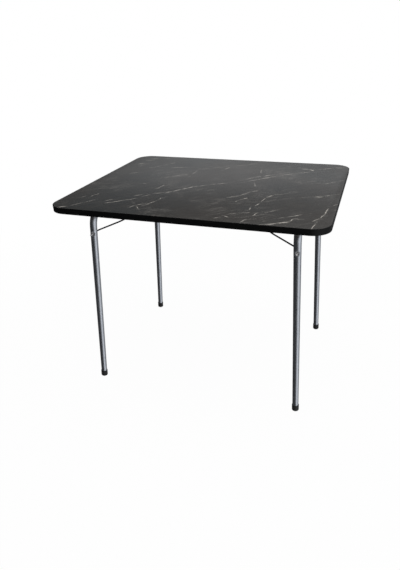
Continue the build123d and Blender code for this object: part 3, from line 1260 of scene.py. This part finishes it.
@dataclass
class MarbleTop(Piece):
    """The patterned laminate, let into the band and eased along its rim."""

    corner_radius: float = 0.058
    rim_ease: float = 0.00018
    rim_segments: int = 2
    steps: int = 28

    def shape(self, mesh: Mesh) -> None:
        """Draw the outline, raise it by the laminate's thickness and ease its upper rim.

        Args:
            mesh: The empty mesh to build it in.
        """
        low, high = self.box
        corners = rounded_rectangle(high.x, high.y, low.z)
        outline = closed_outline(mesh, corners, [self.corner_radius] * len(corners), self.steps)
        thicken(mesh, outline, Vector((0, 0, high.z - low.z)))
        rim = [edge for edge in mesh.edges if all(p.co.z > high.z - HAIR for p in edge.verts)]
        bevel(mesh, rim, self.rim_ease, self.rim_segments)


@dataclass
class EdgeBand(Piece):
    """The plastic band: one strip bent round the panel, its ends butted at the back."""

    corner_radius: float = 0.060
    thickness: float = 0.002
    edge_round: float = 0.0008
    inner_ease: float = 0.00015
    butt_gap: float = 0.00012
    butt_from_middle: float = 0.09
    steps: int = 28
    edge_steps: int = 5

    def shape(self, mesh: Mesh) -> None:
        """Draw the band's section at the butt joint and pull it round the panel.

        Args:
            mesh: The empty mesh to build it in.
        """
        low, high = self.box
        x = self.butt_from_middle
        section = [
            Vector((x, high.y, low.z)),
            Vector((x, high.y, high.z)),
            Vector((x, high.y - self.thickness, high.z)),
            Vector((x, high.y - self.thickness, low.z)),
        ]
        rounds = [self.edge_round] * 2 + [self.inner_ease] * 2
        front = closed_outline(mesh, section, rounds, self.edge_steps)
        Puller(mesh, list(front), self.steps).close()
        middle = Vector((0, 0, (low.z + high.z) / 2))
        start = Vector((x, high.y, middle.z))
        finish = start + Vector((self.butt_gap, 0, 0))
        corners = rounded_rectangle(high.x, high.y, middle.z)
        band = Puller(mesh, front, self.steps)
        band.follow([start, *corners, finish], [self.corner_radius] * len(corners))
        band.close()


@dataclass
class TubeFrame(Piece):
    """A leg frame: one tube bent into a U, with a flattened seat where the stay is pinned."""

    side: Side
    top_half_width: float
    radius: float = 0.011
    wall: float = 0.0012
    bend_radius: float = 0.063
    bore_depth: float = 0.030
    end_height: float = 0.0032
    sides: int = 64
    steps: int = 26
    seat_radius: float = 0.0100
    seat_depth: float = 0.0030
    seat_side_share: float = 0.3
    seat_loops: int = 24
    swell: float = 0.13
    swell_from_middle: Pair = (0.155, 0.205)
    swell_down_leg: Pair = (0.085, 0.125)

    @cached_property
    def fold(self) -> Vector:
        """The point of the fold axis over the middle of the frame."""
        return joint_place(f"{self.side.label}_frame_fold")

    @cached_property
    def pin(self) -> Vector:
        """The point of the stay's hinge axis at the middle of the frame."""
        return joint_place(f"{self.side.label}_stay_swing")

    def foot(self, end: End) -> Vector:
        """Where a leg's axis meets the floor."""
        return mount_place(f"foot_{self.side.label}_{end.label}")

    def corner(self, end: End) -> Vector:
        """Where a leg's axis meets the crossbar's."""
        return self.fold + Vector((0, end.value * self.top_half_width, 0))

    def on_leg(self, end: End, height: float) -> Vector:
        """The point of a leg's axis at a height above the floor."""
        foot, corner = self.foot(end), self.corner(end)
        return foot.lerp(corner, height / corner.z)

    def shape(self, mesh: Mesh) -> None:
        """Pull a ring up one leg, over the crossbar and down the other, then dent the seats.

        Args:
            mesh: The empty mesh to build it in.
        """
        front_leg, back_leg = (
            [self.on_leg(end, self.end_height), *self._seat_stations(end), self.corner(end)]
            for end in End
        )
        path = front_leg + back_leg[::-1]
        sharp = [0.0] * (self.seat_loops + 1)
        front = ring(mesh, path[0], path[1] - path[0], self.radius, self.sides)
        self._bore(Puller(mesh, list(front), self.steps), (path[1] - path[0]).normalized())
        tube = Puller(mesh, front, self.steps)
        tube.follow(path, sharp + [self.bend_radius] * 2 + sharp)
        self._bore(tube, (path[-2] - path[-1]).normalized())
        self._widen(mesh)
        for end in End:
            self._seat(mesh, end)

    def _bore(self, rim: Puller, inward: Vector) -> None:
        """Turn the tube's end in to its wall, and run the bore a short way up.

        Args:
            rim: The tube's end.
            inward: The direction up the tube.
        """
        rim.taper(1 - self.wall / self.radius, Vector())
        rim.taper(1.0, inward * self.bore_depth)
        rim.close()

    def _widen(self, mesh: Mesh) -> None:
        """Widen the tube across the frame in its bends and by the pin, as if pressed flatter.

        Args:
            mesh: The tube's mesh.
        """
        down = ((self.foot(End.FRONT) + self.foot(End.BACK)) / 2 - self.fold).normalized()
        across = down.cross(Vector((0, 1, 0)))
        for point in mesh.verts:
            away = point.co - self.fold
            share = ease(abs(away.y), *self.swell_from_middle)
            share *= 1 - ease(away.dot(down), *self.swell_down_leg)
            point.co += across * away.dot(across) * self.swell * share

    def _seat_stations(self, end: End) -> list[Vector]:
        """The points of a leg's axis, from below, where rings of points cross the seat."""
        shares = [2 * index / self.seat_loops - 1 for index in range(self.seat_loops + 1)]
        return [self.on_leg(end, self.pin.z + share * self.seat_radius) for share in shares]

    def _seat(self, mesh: Mesh, end: End) -> None:
        """Flatten the tube a little round the holes of the stay's pin.

        Args:
            mesh: The tube's mesh.
            end: Which leg.
        """
        centre = self.on_leg(end, self.pin.z)
        for point in mesh.verts:
            away = point.co - centre
            reach = Vector((away.x, 0, away.z)).length / self.seat_radius
            if reach < 1 and self.radius * self.seat_side_share < abs(away.y) < 2 * self.radius:
                dent = self.seat_depth * (1 - reach * reach) ** 2
                point.co.y -= dent if away.y > 0 else -dent


@dataclass
class StayWire(Piece):
    """A wire stay: pinned through both legs, its arms rising to a cross part in the keepers."""

    side: Side
    frame_piece: TubeFrame
    radius: float = 0.0025
    bend_radius: float = 0.009
    inset: float = 0.028
    draw_in: float = 0.040
    bare_share: float = 0.6
    end_round: float = 0.0007
    end_flat_share: float = 0.3
    bow: float = 0.004
    bow_at: float = 0.42
    bow_radius: float = 0.16
    sides: int = 24
    steps: int = 10

    def shape(self, mesh: Mesh) -> None:
        """Pull a round section from one pinned end to the other.

        Args:
            mesh: The empty mesh to build it in.
        """
        low, high = self.box
        pin = self.frame_piece.pin
        reach = high if self.side is Side.LEFT else low
        cross = Vector((reach.x + self.side.value * self.radius, 0, high.z - self.radius))
        hole = abs(self.frame_piece.on_leg(End.BACK, pin.z).y)
        foot = hole - self.inset
        head = foot - self.draw_in
        highlit_from = hole + self.frame_piece.radius * self.bare_share
        rise = (cross - pin).normalized()
        up = rise.cross(Vector((0, self.side.value, 0)))
        half = []
        for end in End:
            out = Vector((0, end.value, 0))
            tip = high.y - self.end_round
            turn, corner = pin + out * foot, cross + out * head
            bowed = turn.lerp(corner, self.bow_at) + up * self.bow
            half.append([pin + out * tip, pin + out * highlit_from, turn, bowed, corner])
        path = half[0] + half[1][::-1]
        front = ring(mesh, path[0], path[1] - path[0], self.radius, self.sides)
        self._round_off(Puller(mesh, list(front), self.steps), Vector((0, End.FRONT.value, 0)))
        wire = Puller(mesh, front, self.steps)
        bends = [self.bend_radius, self.bow_radius, self.bend_radius]
        wire.follow(path, [0.0, *bends, *bends, 0.0])
        self._round_off(wire, Vector((0, End.BACK.value, 0)))
        # faces past the legs take the painted highlight finish, the rest the painted shade finish
        for face in mesh.faces:
            face.material_index = int(abs(face.calc_center_median().y) > highlit_from)

    def _round_off(self, tip: Puller, outward: Vector) -> None:
        """Round the cut end of the wire and close it.

        Args:
            tip: The end of the wire.
            outward: The direction that it points in.
        """
        share, flat = self.end_round / self.radius, self.end_flat_share
        tip.taper(1 - share * flat, outward * self.end_round * (1 - flat))
        tip.taper((1 - share) / (1 - share * flat), outward * self.end_round * flat)
        tip.close()


@dataclass
class RubberFoot(Piece):
    """A moulded cup on a leg's end, with grip rings, a rolled rim and a hollow sole."""

    frame_piece: TubeFrame
    end: End
    radius: float = 0.01275
    height: float = 0.025
    floor: float = 0.004
    fit_clearance: float = 0.00005
    floor_cut: float = 0.0008
    bottom_round: float = 0.0045
    rim_round: float = 0.0012
    mouth_round: float = 0.0003
    ring_heights: tuple[float, ...] = (0.0085, 0.0120, 0.0155)
    ring_depth: float = 0.00045
    ring_half: float = 0.0009
    ring_round: float = 0.0003
    sole_rim: float = 0.0028
    sole_depth: float = 0.0007
    profile_steps: int = 6
    segments: int = 56

    def shape(self, mesh: Mesh) -> None:
        """Spin the cup's profile, stand it on the leg and cut it flat on the floor.

        Args:
            mesh: The empty mesh to build it in.
        """
        profile = self._profile()
        start = bmesh.ops.create_vert(mesh, co=profile[0][0])["vert"][0]
        drawn = Puller(mesh, [start], self.profile_steps)
        drawn.follow([point for point, _ in profile], [radius for _, radius in profile[1:-1]])
        bmesh.ops.spin(mesh, geom=mesh.verts[:] + mesh.edges[:], cent=(0, 0, 0), axis=(0, 0, 1),
                       dvec=(0, 0, 0), angle=2 * pi, steps=self.segments, use_merge=True)
        bmesh.ops.remove_doubles(mesh, verts=mesh.verts[:], dist=HAIR)
        foot, corner = self.frame_piece.foot(self.end), self.frame_piece.corner(self.end)
        up = (corner - foot).normalized()
        stand = Matrix.Translation(foot - up * self.floor_cut)
        lean = up.to_track_quat("Z", "Y").to_matrix().to_4x4()
        bmesh.ops.transform(mesh, matrix=stand @ lean, verts=mesh.verts[:])
        bmesh.ops.bisect_plane(mesh, geom=mesh.verts[:] + mesh.edges[:] + mesh.faces[:],
                               plane_co=(0, 0, 0), plane_no=(0, 0, -1), clear_outer=True)
        rim = [edge for edge in mesh.edges if edge.is_boundary]
        sole = bmesh.ops.edgeloop_fill(mesh, edges=rim)["faces"]
        bmesh.ops.recalc_face_normals(mesh, faces=mesh.faces[:])
        bmesh.ops.inset_region(mesh, faces=sole, thickness=self.sole_rim, depth=0.0)
        bmesh.ops.inset_region(mesh, faces=sole, thickness=self.sole_depth, depth=-self.sole_depth)

    def _profile(self) -> list[tuple[Vector, float]]:
        """The cup's half section.

        Returns:
            Its corners, each with the radius there.
        """
        bore = self.frame_piece.radius + self.fit_clearance
        corners = [(0.0, 0.0, 0.0), (self.radius, 0.0, self.bottom_round)]
        for middle in self.ring_heights:
            corners.append((self.radius, middle - self.ring_half, 0.0))
            corners.append((self.radius - self.ring_depth, middle, self.ring_round))
            corners.append((self.radius, middle + self.ring_half, 0.0))
        corners.append((self.radius, self.height, self.rim_round))
        corners.append((bore, self.height, self.mouth_round))
        corners.append((bore, self.floor, 0.0))
        corners.append((0.0, self.floor, 0.0))
        return [(Vector((across, 0, up)), radius) for across, up, radius in corners]


@dataclass
class PressedStrip(Piece):
    """A strip of sheet steel, bent in a press and eased along its edges."""

    side: Side
    thickness: float = 0.0015
    edge_ease: float = 0.00022
    edge_segments: int = 2
    sharp_above: float = radians(60)
    corner_round: float = 0.005
    corner_segments: int = 6
    steps: int = 14

    def line(self) -> tuple[list[Vector], list[float], Matrix]:
        """The middle line of the strip.

        Returns:
            Its points in two dimensions, its radii, and the matrix that places them.
        """
        raise NotImplementedError

    def free_ends(self) -> tuple[float, ...]:
        """How far along X each end lies that has its corners rounded."""
        raise NotImplementedError

    def _is_corner(self, edge: Edge) -> bool:
        """Whether an edge is an upright one at a free end.

        Args:
            edge: The edge.

        Returns:
            True where it is.
        """
        first, second = (point.co for point in edge.verts)
        at_end = any(all(abs(p.x - x) < HAIR for p in (first, second)) for x in self.free_ends())
        return at_end and abs(first.z - second.z) > self.thickness / 2

    def shape(self, mesh: Mesh) -> None:
        """Draw the strip's outline, give it its width and ease its edges.

        Args:
            mesh: The empty mesh to build it in.
        """
        points, radii, place = self.line()
        low, high = self.box
        bends, rounds = strip_outline(points, radii, self.thickness)
        outline = closed_outline(mesh, [bend.to_3d() for bend in bends], rounds, self.steps)
        thicken(mesh, outline, Vector((0, 0, high.y - low.y)))
        bmesh.ops.transform(mesh, matrix=place, verts=mesh.verts[:])
        corners = [edge for edge in mesh.edges if self._is_corner(edge)]
        bevel(mesh, corners, self.corner_round, self.corner_segments)
        bmesh.ops.recalc_face_normals(mesh, faces=mesh.faces[:])
        sharp = [edge for edge in mesh.edges if edge.calc_face_angle(0.0) > self.sharp_above]
        bevel(mesh, sharp, self.edge_ease, self.edge_segments)


@dataclass
class Saddle(PressedStrip):
    """A pressed strap over a bush, with a screwed flange on each side."""

    bend_round: float = 0.0012

    def line(self) -> tuple[list[Vector], list[float], Matrix]:
        """Flange, arch and flange, from outside to outside.

        Returns:
            Its points, its radii, and the matrix that places them.
        """
        low, high = self.box
        axis = joint_place(f"{self.side.label}_frame_fold")
        arch = axis.z - low.z - self.thickness / 2
        flange = high.z - axis.z - self.thickness / 2
        half = (high.x - low.x) / 2
        left = [(-half, flange), (-arch, flange), (-arch, -arch)]
        points = left + [(-x, z) for x, z in left[::-1]]
        bend = self.bend_round + self.thickness / 2
        place = upright(Vector((axis.x, low.y, axis.z)), 1)
        return [Vector(p) for p in points], [bend, arch, arch, bend], place

    def free_ends(self) -> tuple[float, ...]:
        """The ends of both flanges."""
        return tuple(corner.x for corner in self.box)


@dataclass
class Keeper(PressedStrip):
    """A screwed strip that steps down and hooks round the cross part of a stay."""

    thickness: float = 0.002
    corner_round: float = 0.004
    bend_radius: float = 0.0025
    wire_radius: float = 0.0025
    clearance: float = 0.0003
    wrap_angle: float = radians(60)

    def line(self) -> tuple[list[Vector], list[float], Matrix]:
        """Tab, step down and hook.

        Returns:
            Its points, its radii, and the matrix that places them.
        """
        low, high = self.box
        stay_low, stay_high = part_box(f"wire_stay_{self.side.label}")
        inner = stay_high.x if self.side is Side.LEFT else stay_low.x
        cross_x = inner + self.side.value * self.wire_radius
        cross_z = stay_high.z - self.wire_radius
        wrap = self.wire_radius + self.clearance + self.thickness / 2
        tab = high.z - cross_z - self.thickness / 2
        tab_end = abs(self.free_ends()[0]) - abs(cross_x)
        hook = wrap * tan(self.wrap_angle / 2)
        last = Vector((-wrap, -hook)) + Vector((sin(self.wrap_angle), -cos(self.wrap_angle))) * hook
        points = [Vector((-tab_end, tab)), Vector((-wrap, tab)), Vector((-wrap, -hook)), last]
        place = upright(Vector((cross_x, low.y, cross_z)), -self.side.value)
        return points, [self.bend_radius, wrap], place

    def free_ends(self) -> tuple[float, ...]:
        """The end of the tab, which points away from the panel's middle."""
        low, high = self.box
        return (high.x if self.side is Side.RIGHT else low.x,)


@dataclass
class Panel:
    """The panel: its marble top, its edge band, its core and its backing."""

    def build(self) -> None:
        """Build the visible pieces and finish the core and the backing."""
        MarbleTop("marble_top", "tabletop", "top_laminate", (MARBLE,)).make()
        EdgeBand("edge_strip", "tabletop", "edge_band", (EDGE,)).make()
        refinish("board_core", CHIPS)
        refinish("backing_laminate", BACKING)


@dataclass
class FoldingFrame:
    """A folding frame with its stay, its feet and what holds it to the panel."""

    side: Side
    top_half_width: float

    def build(self) -> None:
        """Build the frame's pieces in order, from the tube to the keepers."""
        label = self.side.label
        tube = TubeFrame(
            f"tube_frame_{label}", f"{label}_frame", f"leg_frame_{label}", (TUBE,),
            side=self.side, top_half_width=self.top_half_width,
        )
        tube.make()
        StayWire(
            f"stay_wire_{label}", f"{label}_stay", f"wire_stay_{label}", (SHADED_WIRE, HIGHLIT_WIRE_END),
            side=self.side, frame_piece=tube,
        ).make()
        for end in End:
            where = f"{label}_{end.label}"
            RubberFoot(
                f"rubber_foot_{where}", f"{label}_frame", f"foot_cap_{where}", (RUBBER,),
                frame_piece=tube, end=end,
            ).make()
            strips = (Saddle, "pressed_saddle", "saddle"), (Keeper, "hook_keeper", "keeper")
            for kind, name, node in strips:
                kind(f"{name}_{where}", "tabletop", f"{node}_{where}", (PRESSED,), self.side).make()
            refinish(f"bush_{where}", NYLON)


def refinish(node: str, finish: Finish) -> None:
    """Give a node of the frame a finish of the scene's own.

    Args:
        node: The node, whose shape stays.
        finish: Its finish.
    """
    for material_slot in frame["nodes"][node].material_slots:
        material_slot.material = finish.material
    log.info("%s: finished as %s", node, finish.name)


@dataclass
class Studio:
    """The floor, the lamp, the surroundings and the camera."""

    floor_half: float = 14.0
    floor_colour: Colour = (0.86, 0.86, 0.86)
    floor_white: float = 0.975
    floor_fade: Pair = (0.9, 2.2)
    lamp_place: Triple = (0.5, -0.2, 2.9)
    lamp_tilt: float = radians(9)
    lamp_size: float = 2.6
    lamp_power: float = 42.0
    ambient: float = 0.42
    glossy_tint: Colour = (0.96, 0.98, 1.0)
    base_glow: float = 0.05
    side_glow: float = 0.30
    side_span: Pair = (-0.35, 0.75)
    key_glow: float = 0.75
    key_span: Pair = (0.80, 0.97)
    low_glow: float = 0.63
    low_rise: Pair = (-0.02, 0.08)
    low_fall: Pair = (0.18, 0.36)
    low_lean: float = 0.10
    low_left_span: Pair = (-0.52, 0.0)
    low_right_span: Pair = (0.05, 0.25)
    low_right_loss: float = 0.45
    camera_place: Triple = (0.5272, -1.6468, 1.1875)
    camera_turn: float = 0.3275
    camera_dip: float = 0.5720
    camera_roll: float = -0.0300
    focal_pixels: float = 476.03
    optical_centre: Pair = (209.56, 335.49)
    image_size: tuple[int, int] = (400, 570)
    sensor: float = 36.0
    key_direction: Triple = (0.85, -0.52, 0.0)
    image_right: Triple = (0.948, 0.318, 0.0)

    def build(self) -> None:
        """Set up everything that isn't part of the table."""
        self._floor()
        self._lamp()
        self._surroundings()
        self._camera()
        bpy.context.scene.view_settings.view_transform = "Standard"
        log.info("studio: floor, lamp, surroundings and camera set up")

    def _floor(self) -> None:
        """A plain pale floor that shows white to the camera and keeps a soft shadow."""
        mesh = bmesh.new()
        bmesh.ops.create_grid(mesh, x_segments=1, y_segments=1, size=self.floor_half)
        data = bpy.data.meshes.new("floor")
        mesh.to_mesh(data)
        mesh.free()
        floor = placed("floor", data)
        material = bpy.data.materials.new("pale_floor")
        material.use_nodes = True
        sheet = NodeSheet(material.node_tree)
        rough = sheet.node("BsdfDiffuse", sockets={"Color": (*self.floor_colour, 1.0)})
        white = sheet.node("Emission", sockets={"Color": (*WHITE, 1.0), "Strength": 1.0})
        seen = Value(sheet, sheet.node("LightPath").outputs["Is Camera Ray"])
        far = sheet.vector("LENGTH", sheet.place, output="Value")
        beyond = (1 - self.floor_white) * sheet.fade(far, *self.floor_fade)
        share = seen * (self.floor_white + beyond)
        both = sheet.node("MixShader", sockets={0: share, 1: rough.outputs[0], 2: white.outputs[0]})
        sheet.node("OutputMaterial", sockets={"Surface": both.outputs[0]})
        data.materials.append(material)
        floor.visible_glossy = False

    def _lamp(self) -> None:
        """One large soft lamp over the table, a little to the right."""
        lamp = bpy.data.lights.new("overhead_softbox", "AREA")
        lamp.shape = "SQUARE"
        lamp.size = self.lamp_size
        lamp.energy = self.lamp_power
        holder = placed("overhead_softbox", lamp)
        holder.location = self.lamp_place
        holder.rotation_euler = (0, self.lamp_tilt, 0)

    def _surroundings(self) -> None:
        """White to the camera, an even grey to rough surfaces and a bright side for metal."""
        world = bpy.data.worlds.new("studio")
        world.use_nodes = True
        bpy.context.scene.world = world
        sheet = NodeSheet(world.node_tree)
        paths = sheet.node("LightPath").outputs
        direction = sheet.node("TexCoord").outputs["Generated"]
        level = sheet.vector("NORMALIZE", sheet.vector("MULTIPLY", direction, (1.0, 1.0, 0.0)))
        rightness = sheet.vector("DOT_PRODUCT", level, self.image_right, output="Value")
        nearness = sheet.vector("DOT_PRODUCT", level, self.key_direction, output="Value")
        rise = Value(sheet, sheet.node("SeparateXYZ", sockets={0: direction}).outputs[2])
        fall = sheet.fade(rise - self.low_lean * rightness, *self.low_fall)
        low = sheet.fade(rise, *self.low_rise) * (1.0 - fall)
        loss = self.low_right_loss * sheet.fade(rightness, *self.low_right_span)
        glow = low * sheet.fade(rightness, *self.low_left_span) * (1.0 - loss)
        mirror = (
            self.base_glow
            + self.side_glow * sheet.fade(rightness, *self.side_span)
            + self.key_glow * sheet.fade(nearness, *self.key_span)
            + self.low_glow * glow
        )
        glossy = Value(sheet, paths["Is Glossy Ray"])
        seen = Value(sheet, paths["Is Camera Ray"])
        grey = self.ambient + glossy * (mirror - self.ambient)
        strength = seen + (1.0 - seen) * grey
        tint = sheet.mix(glossy, WHITE, self.glossy_tint)
        background = sheet.node("Background", sockets={"Color": tint, "Strength": strength})
        sheet.node("OutputWorld", sockets={"Surface": background.outputs[0]})

    def _camera(self) -> None:
        """The camera at the photograph's angle, with the shift of its framing."""
        turn, dip, roll = self.camera_turn, self.camera_dip, self.camera_roll
        ahead = Vector((-sin(turn) * cos(dip), cos(turn) * cos(dip), -sin(dip)))
        right = ahead.cross(Vector((0, 0, 1))).normalized()
        up = right.cross(ahead)
        rolled_right = right * cos(roll) + up * sin(roll)
        rolled_up = up * cos(roll) - right * sin(roll)
        axes = Matrix((rolled_right, rolled_up, -ahead)).transposed().to_4x4()
        width, height = self.image_size
        data = bpy.data.cameras.new("photo_view")
        data.sensor_width = self.sensor
        data.lens = self.focal_pixels / height * self.sensor
        data.shift_x = (width / 2 - self.optical_centre[0]) / height
        data.shift_y = (self.optical_centre[1] - height / 2) / height
        data.dof.use_dof = False
        camera = placed("photo_view", data)
        camera.matrix_world = Matrix.Translation(self.camera_place) @ axes
        bpy.context.scene.camera = camera


def main() -> None:
    """Build the table's sub-assemblies in order, then the studio around them."""
    logging.basicConfig(level=logging.INFO, format="%(name)s: %(message)s")
    Panel().build()
    FoldingFrame(Side.LEFT, LEFT_TOP_HALF_WIDTH).build()
    FoldingFrame(Side.RIGHT, RIGHT_TOP_HALF_WIDTH).build()
    for group in ("saddle_screws", "keeper_screws"):
        refinish(group, SCREW)
    Studio().build()


if __name__ == "__main__":
    main()
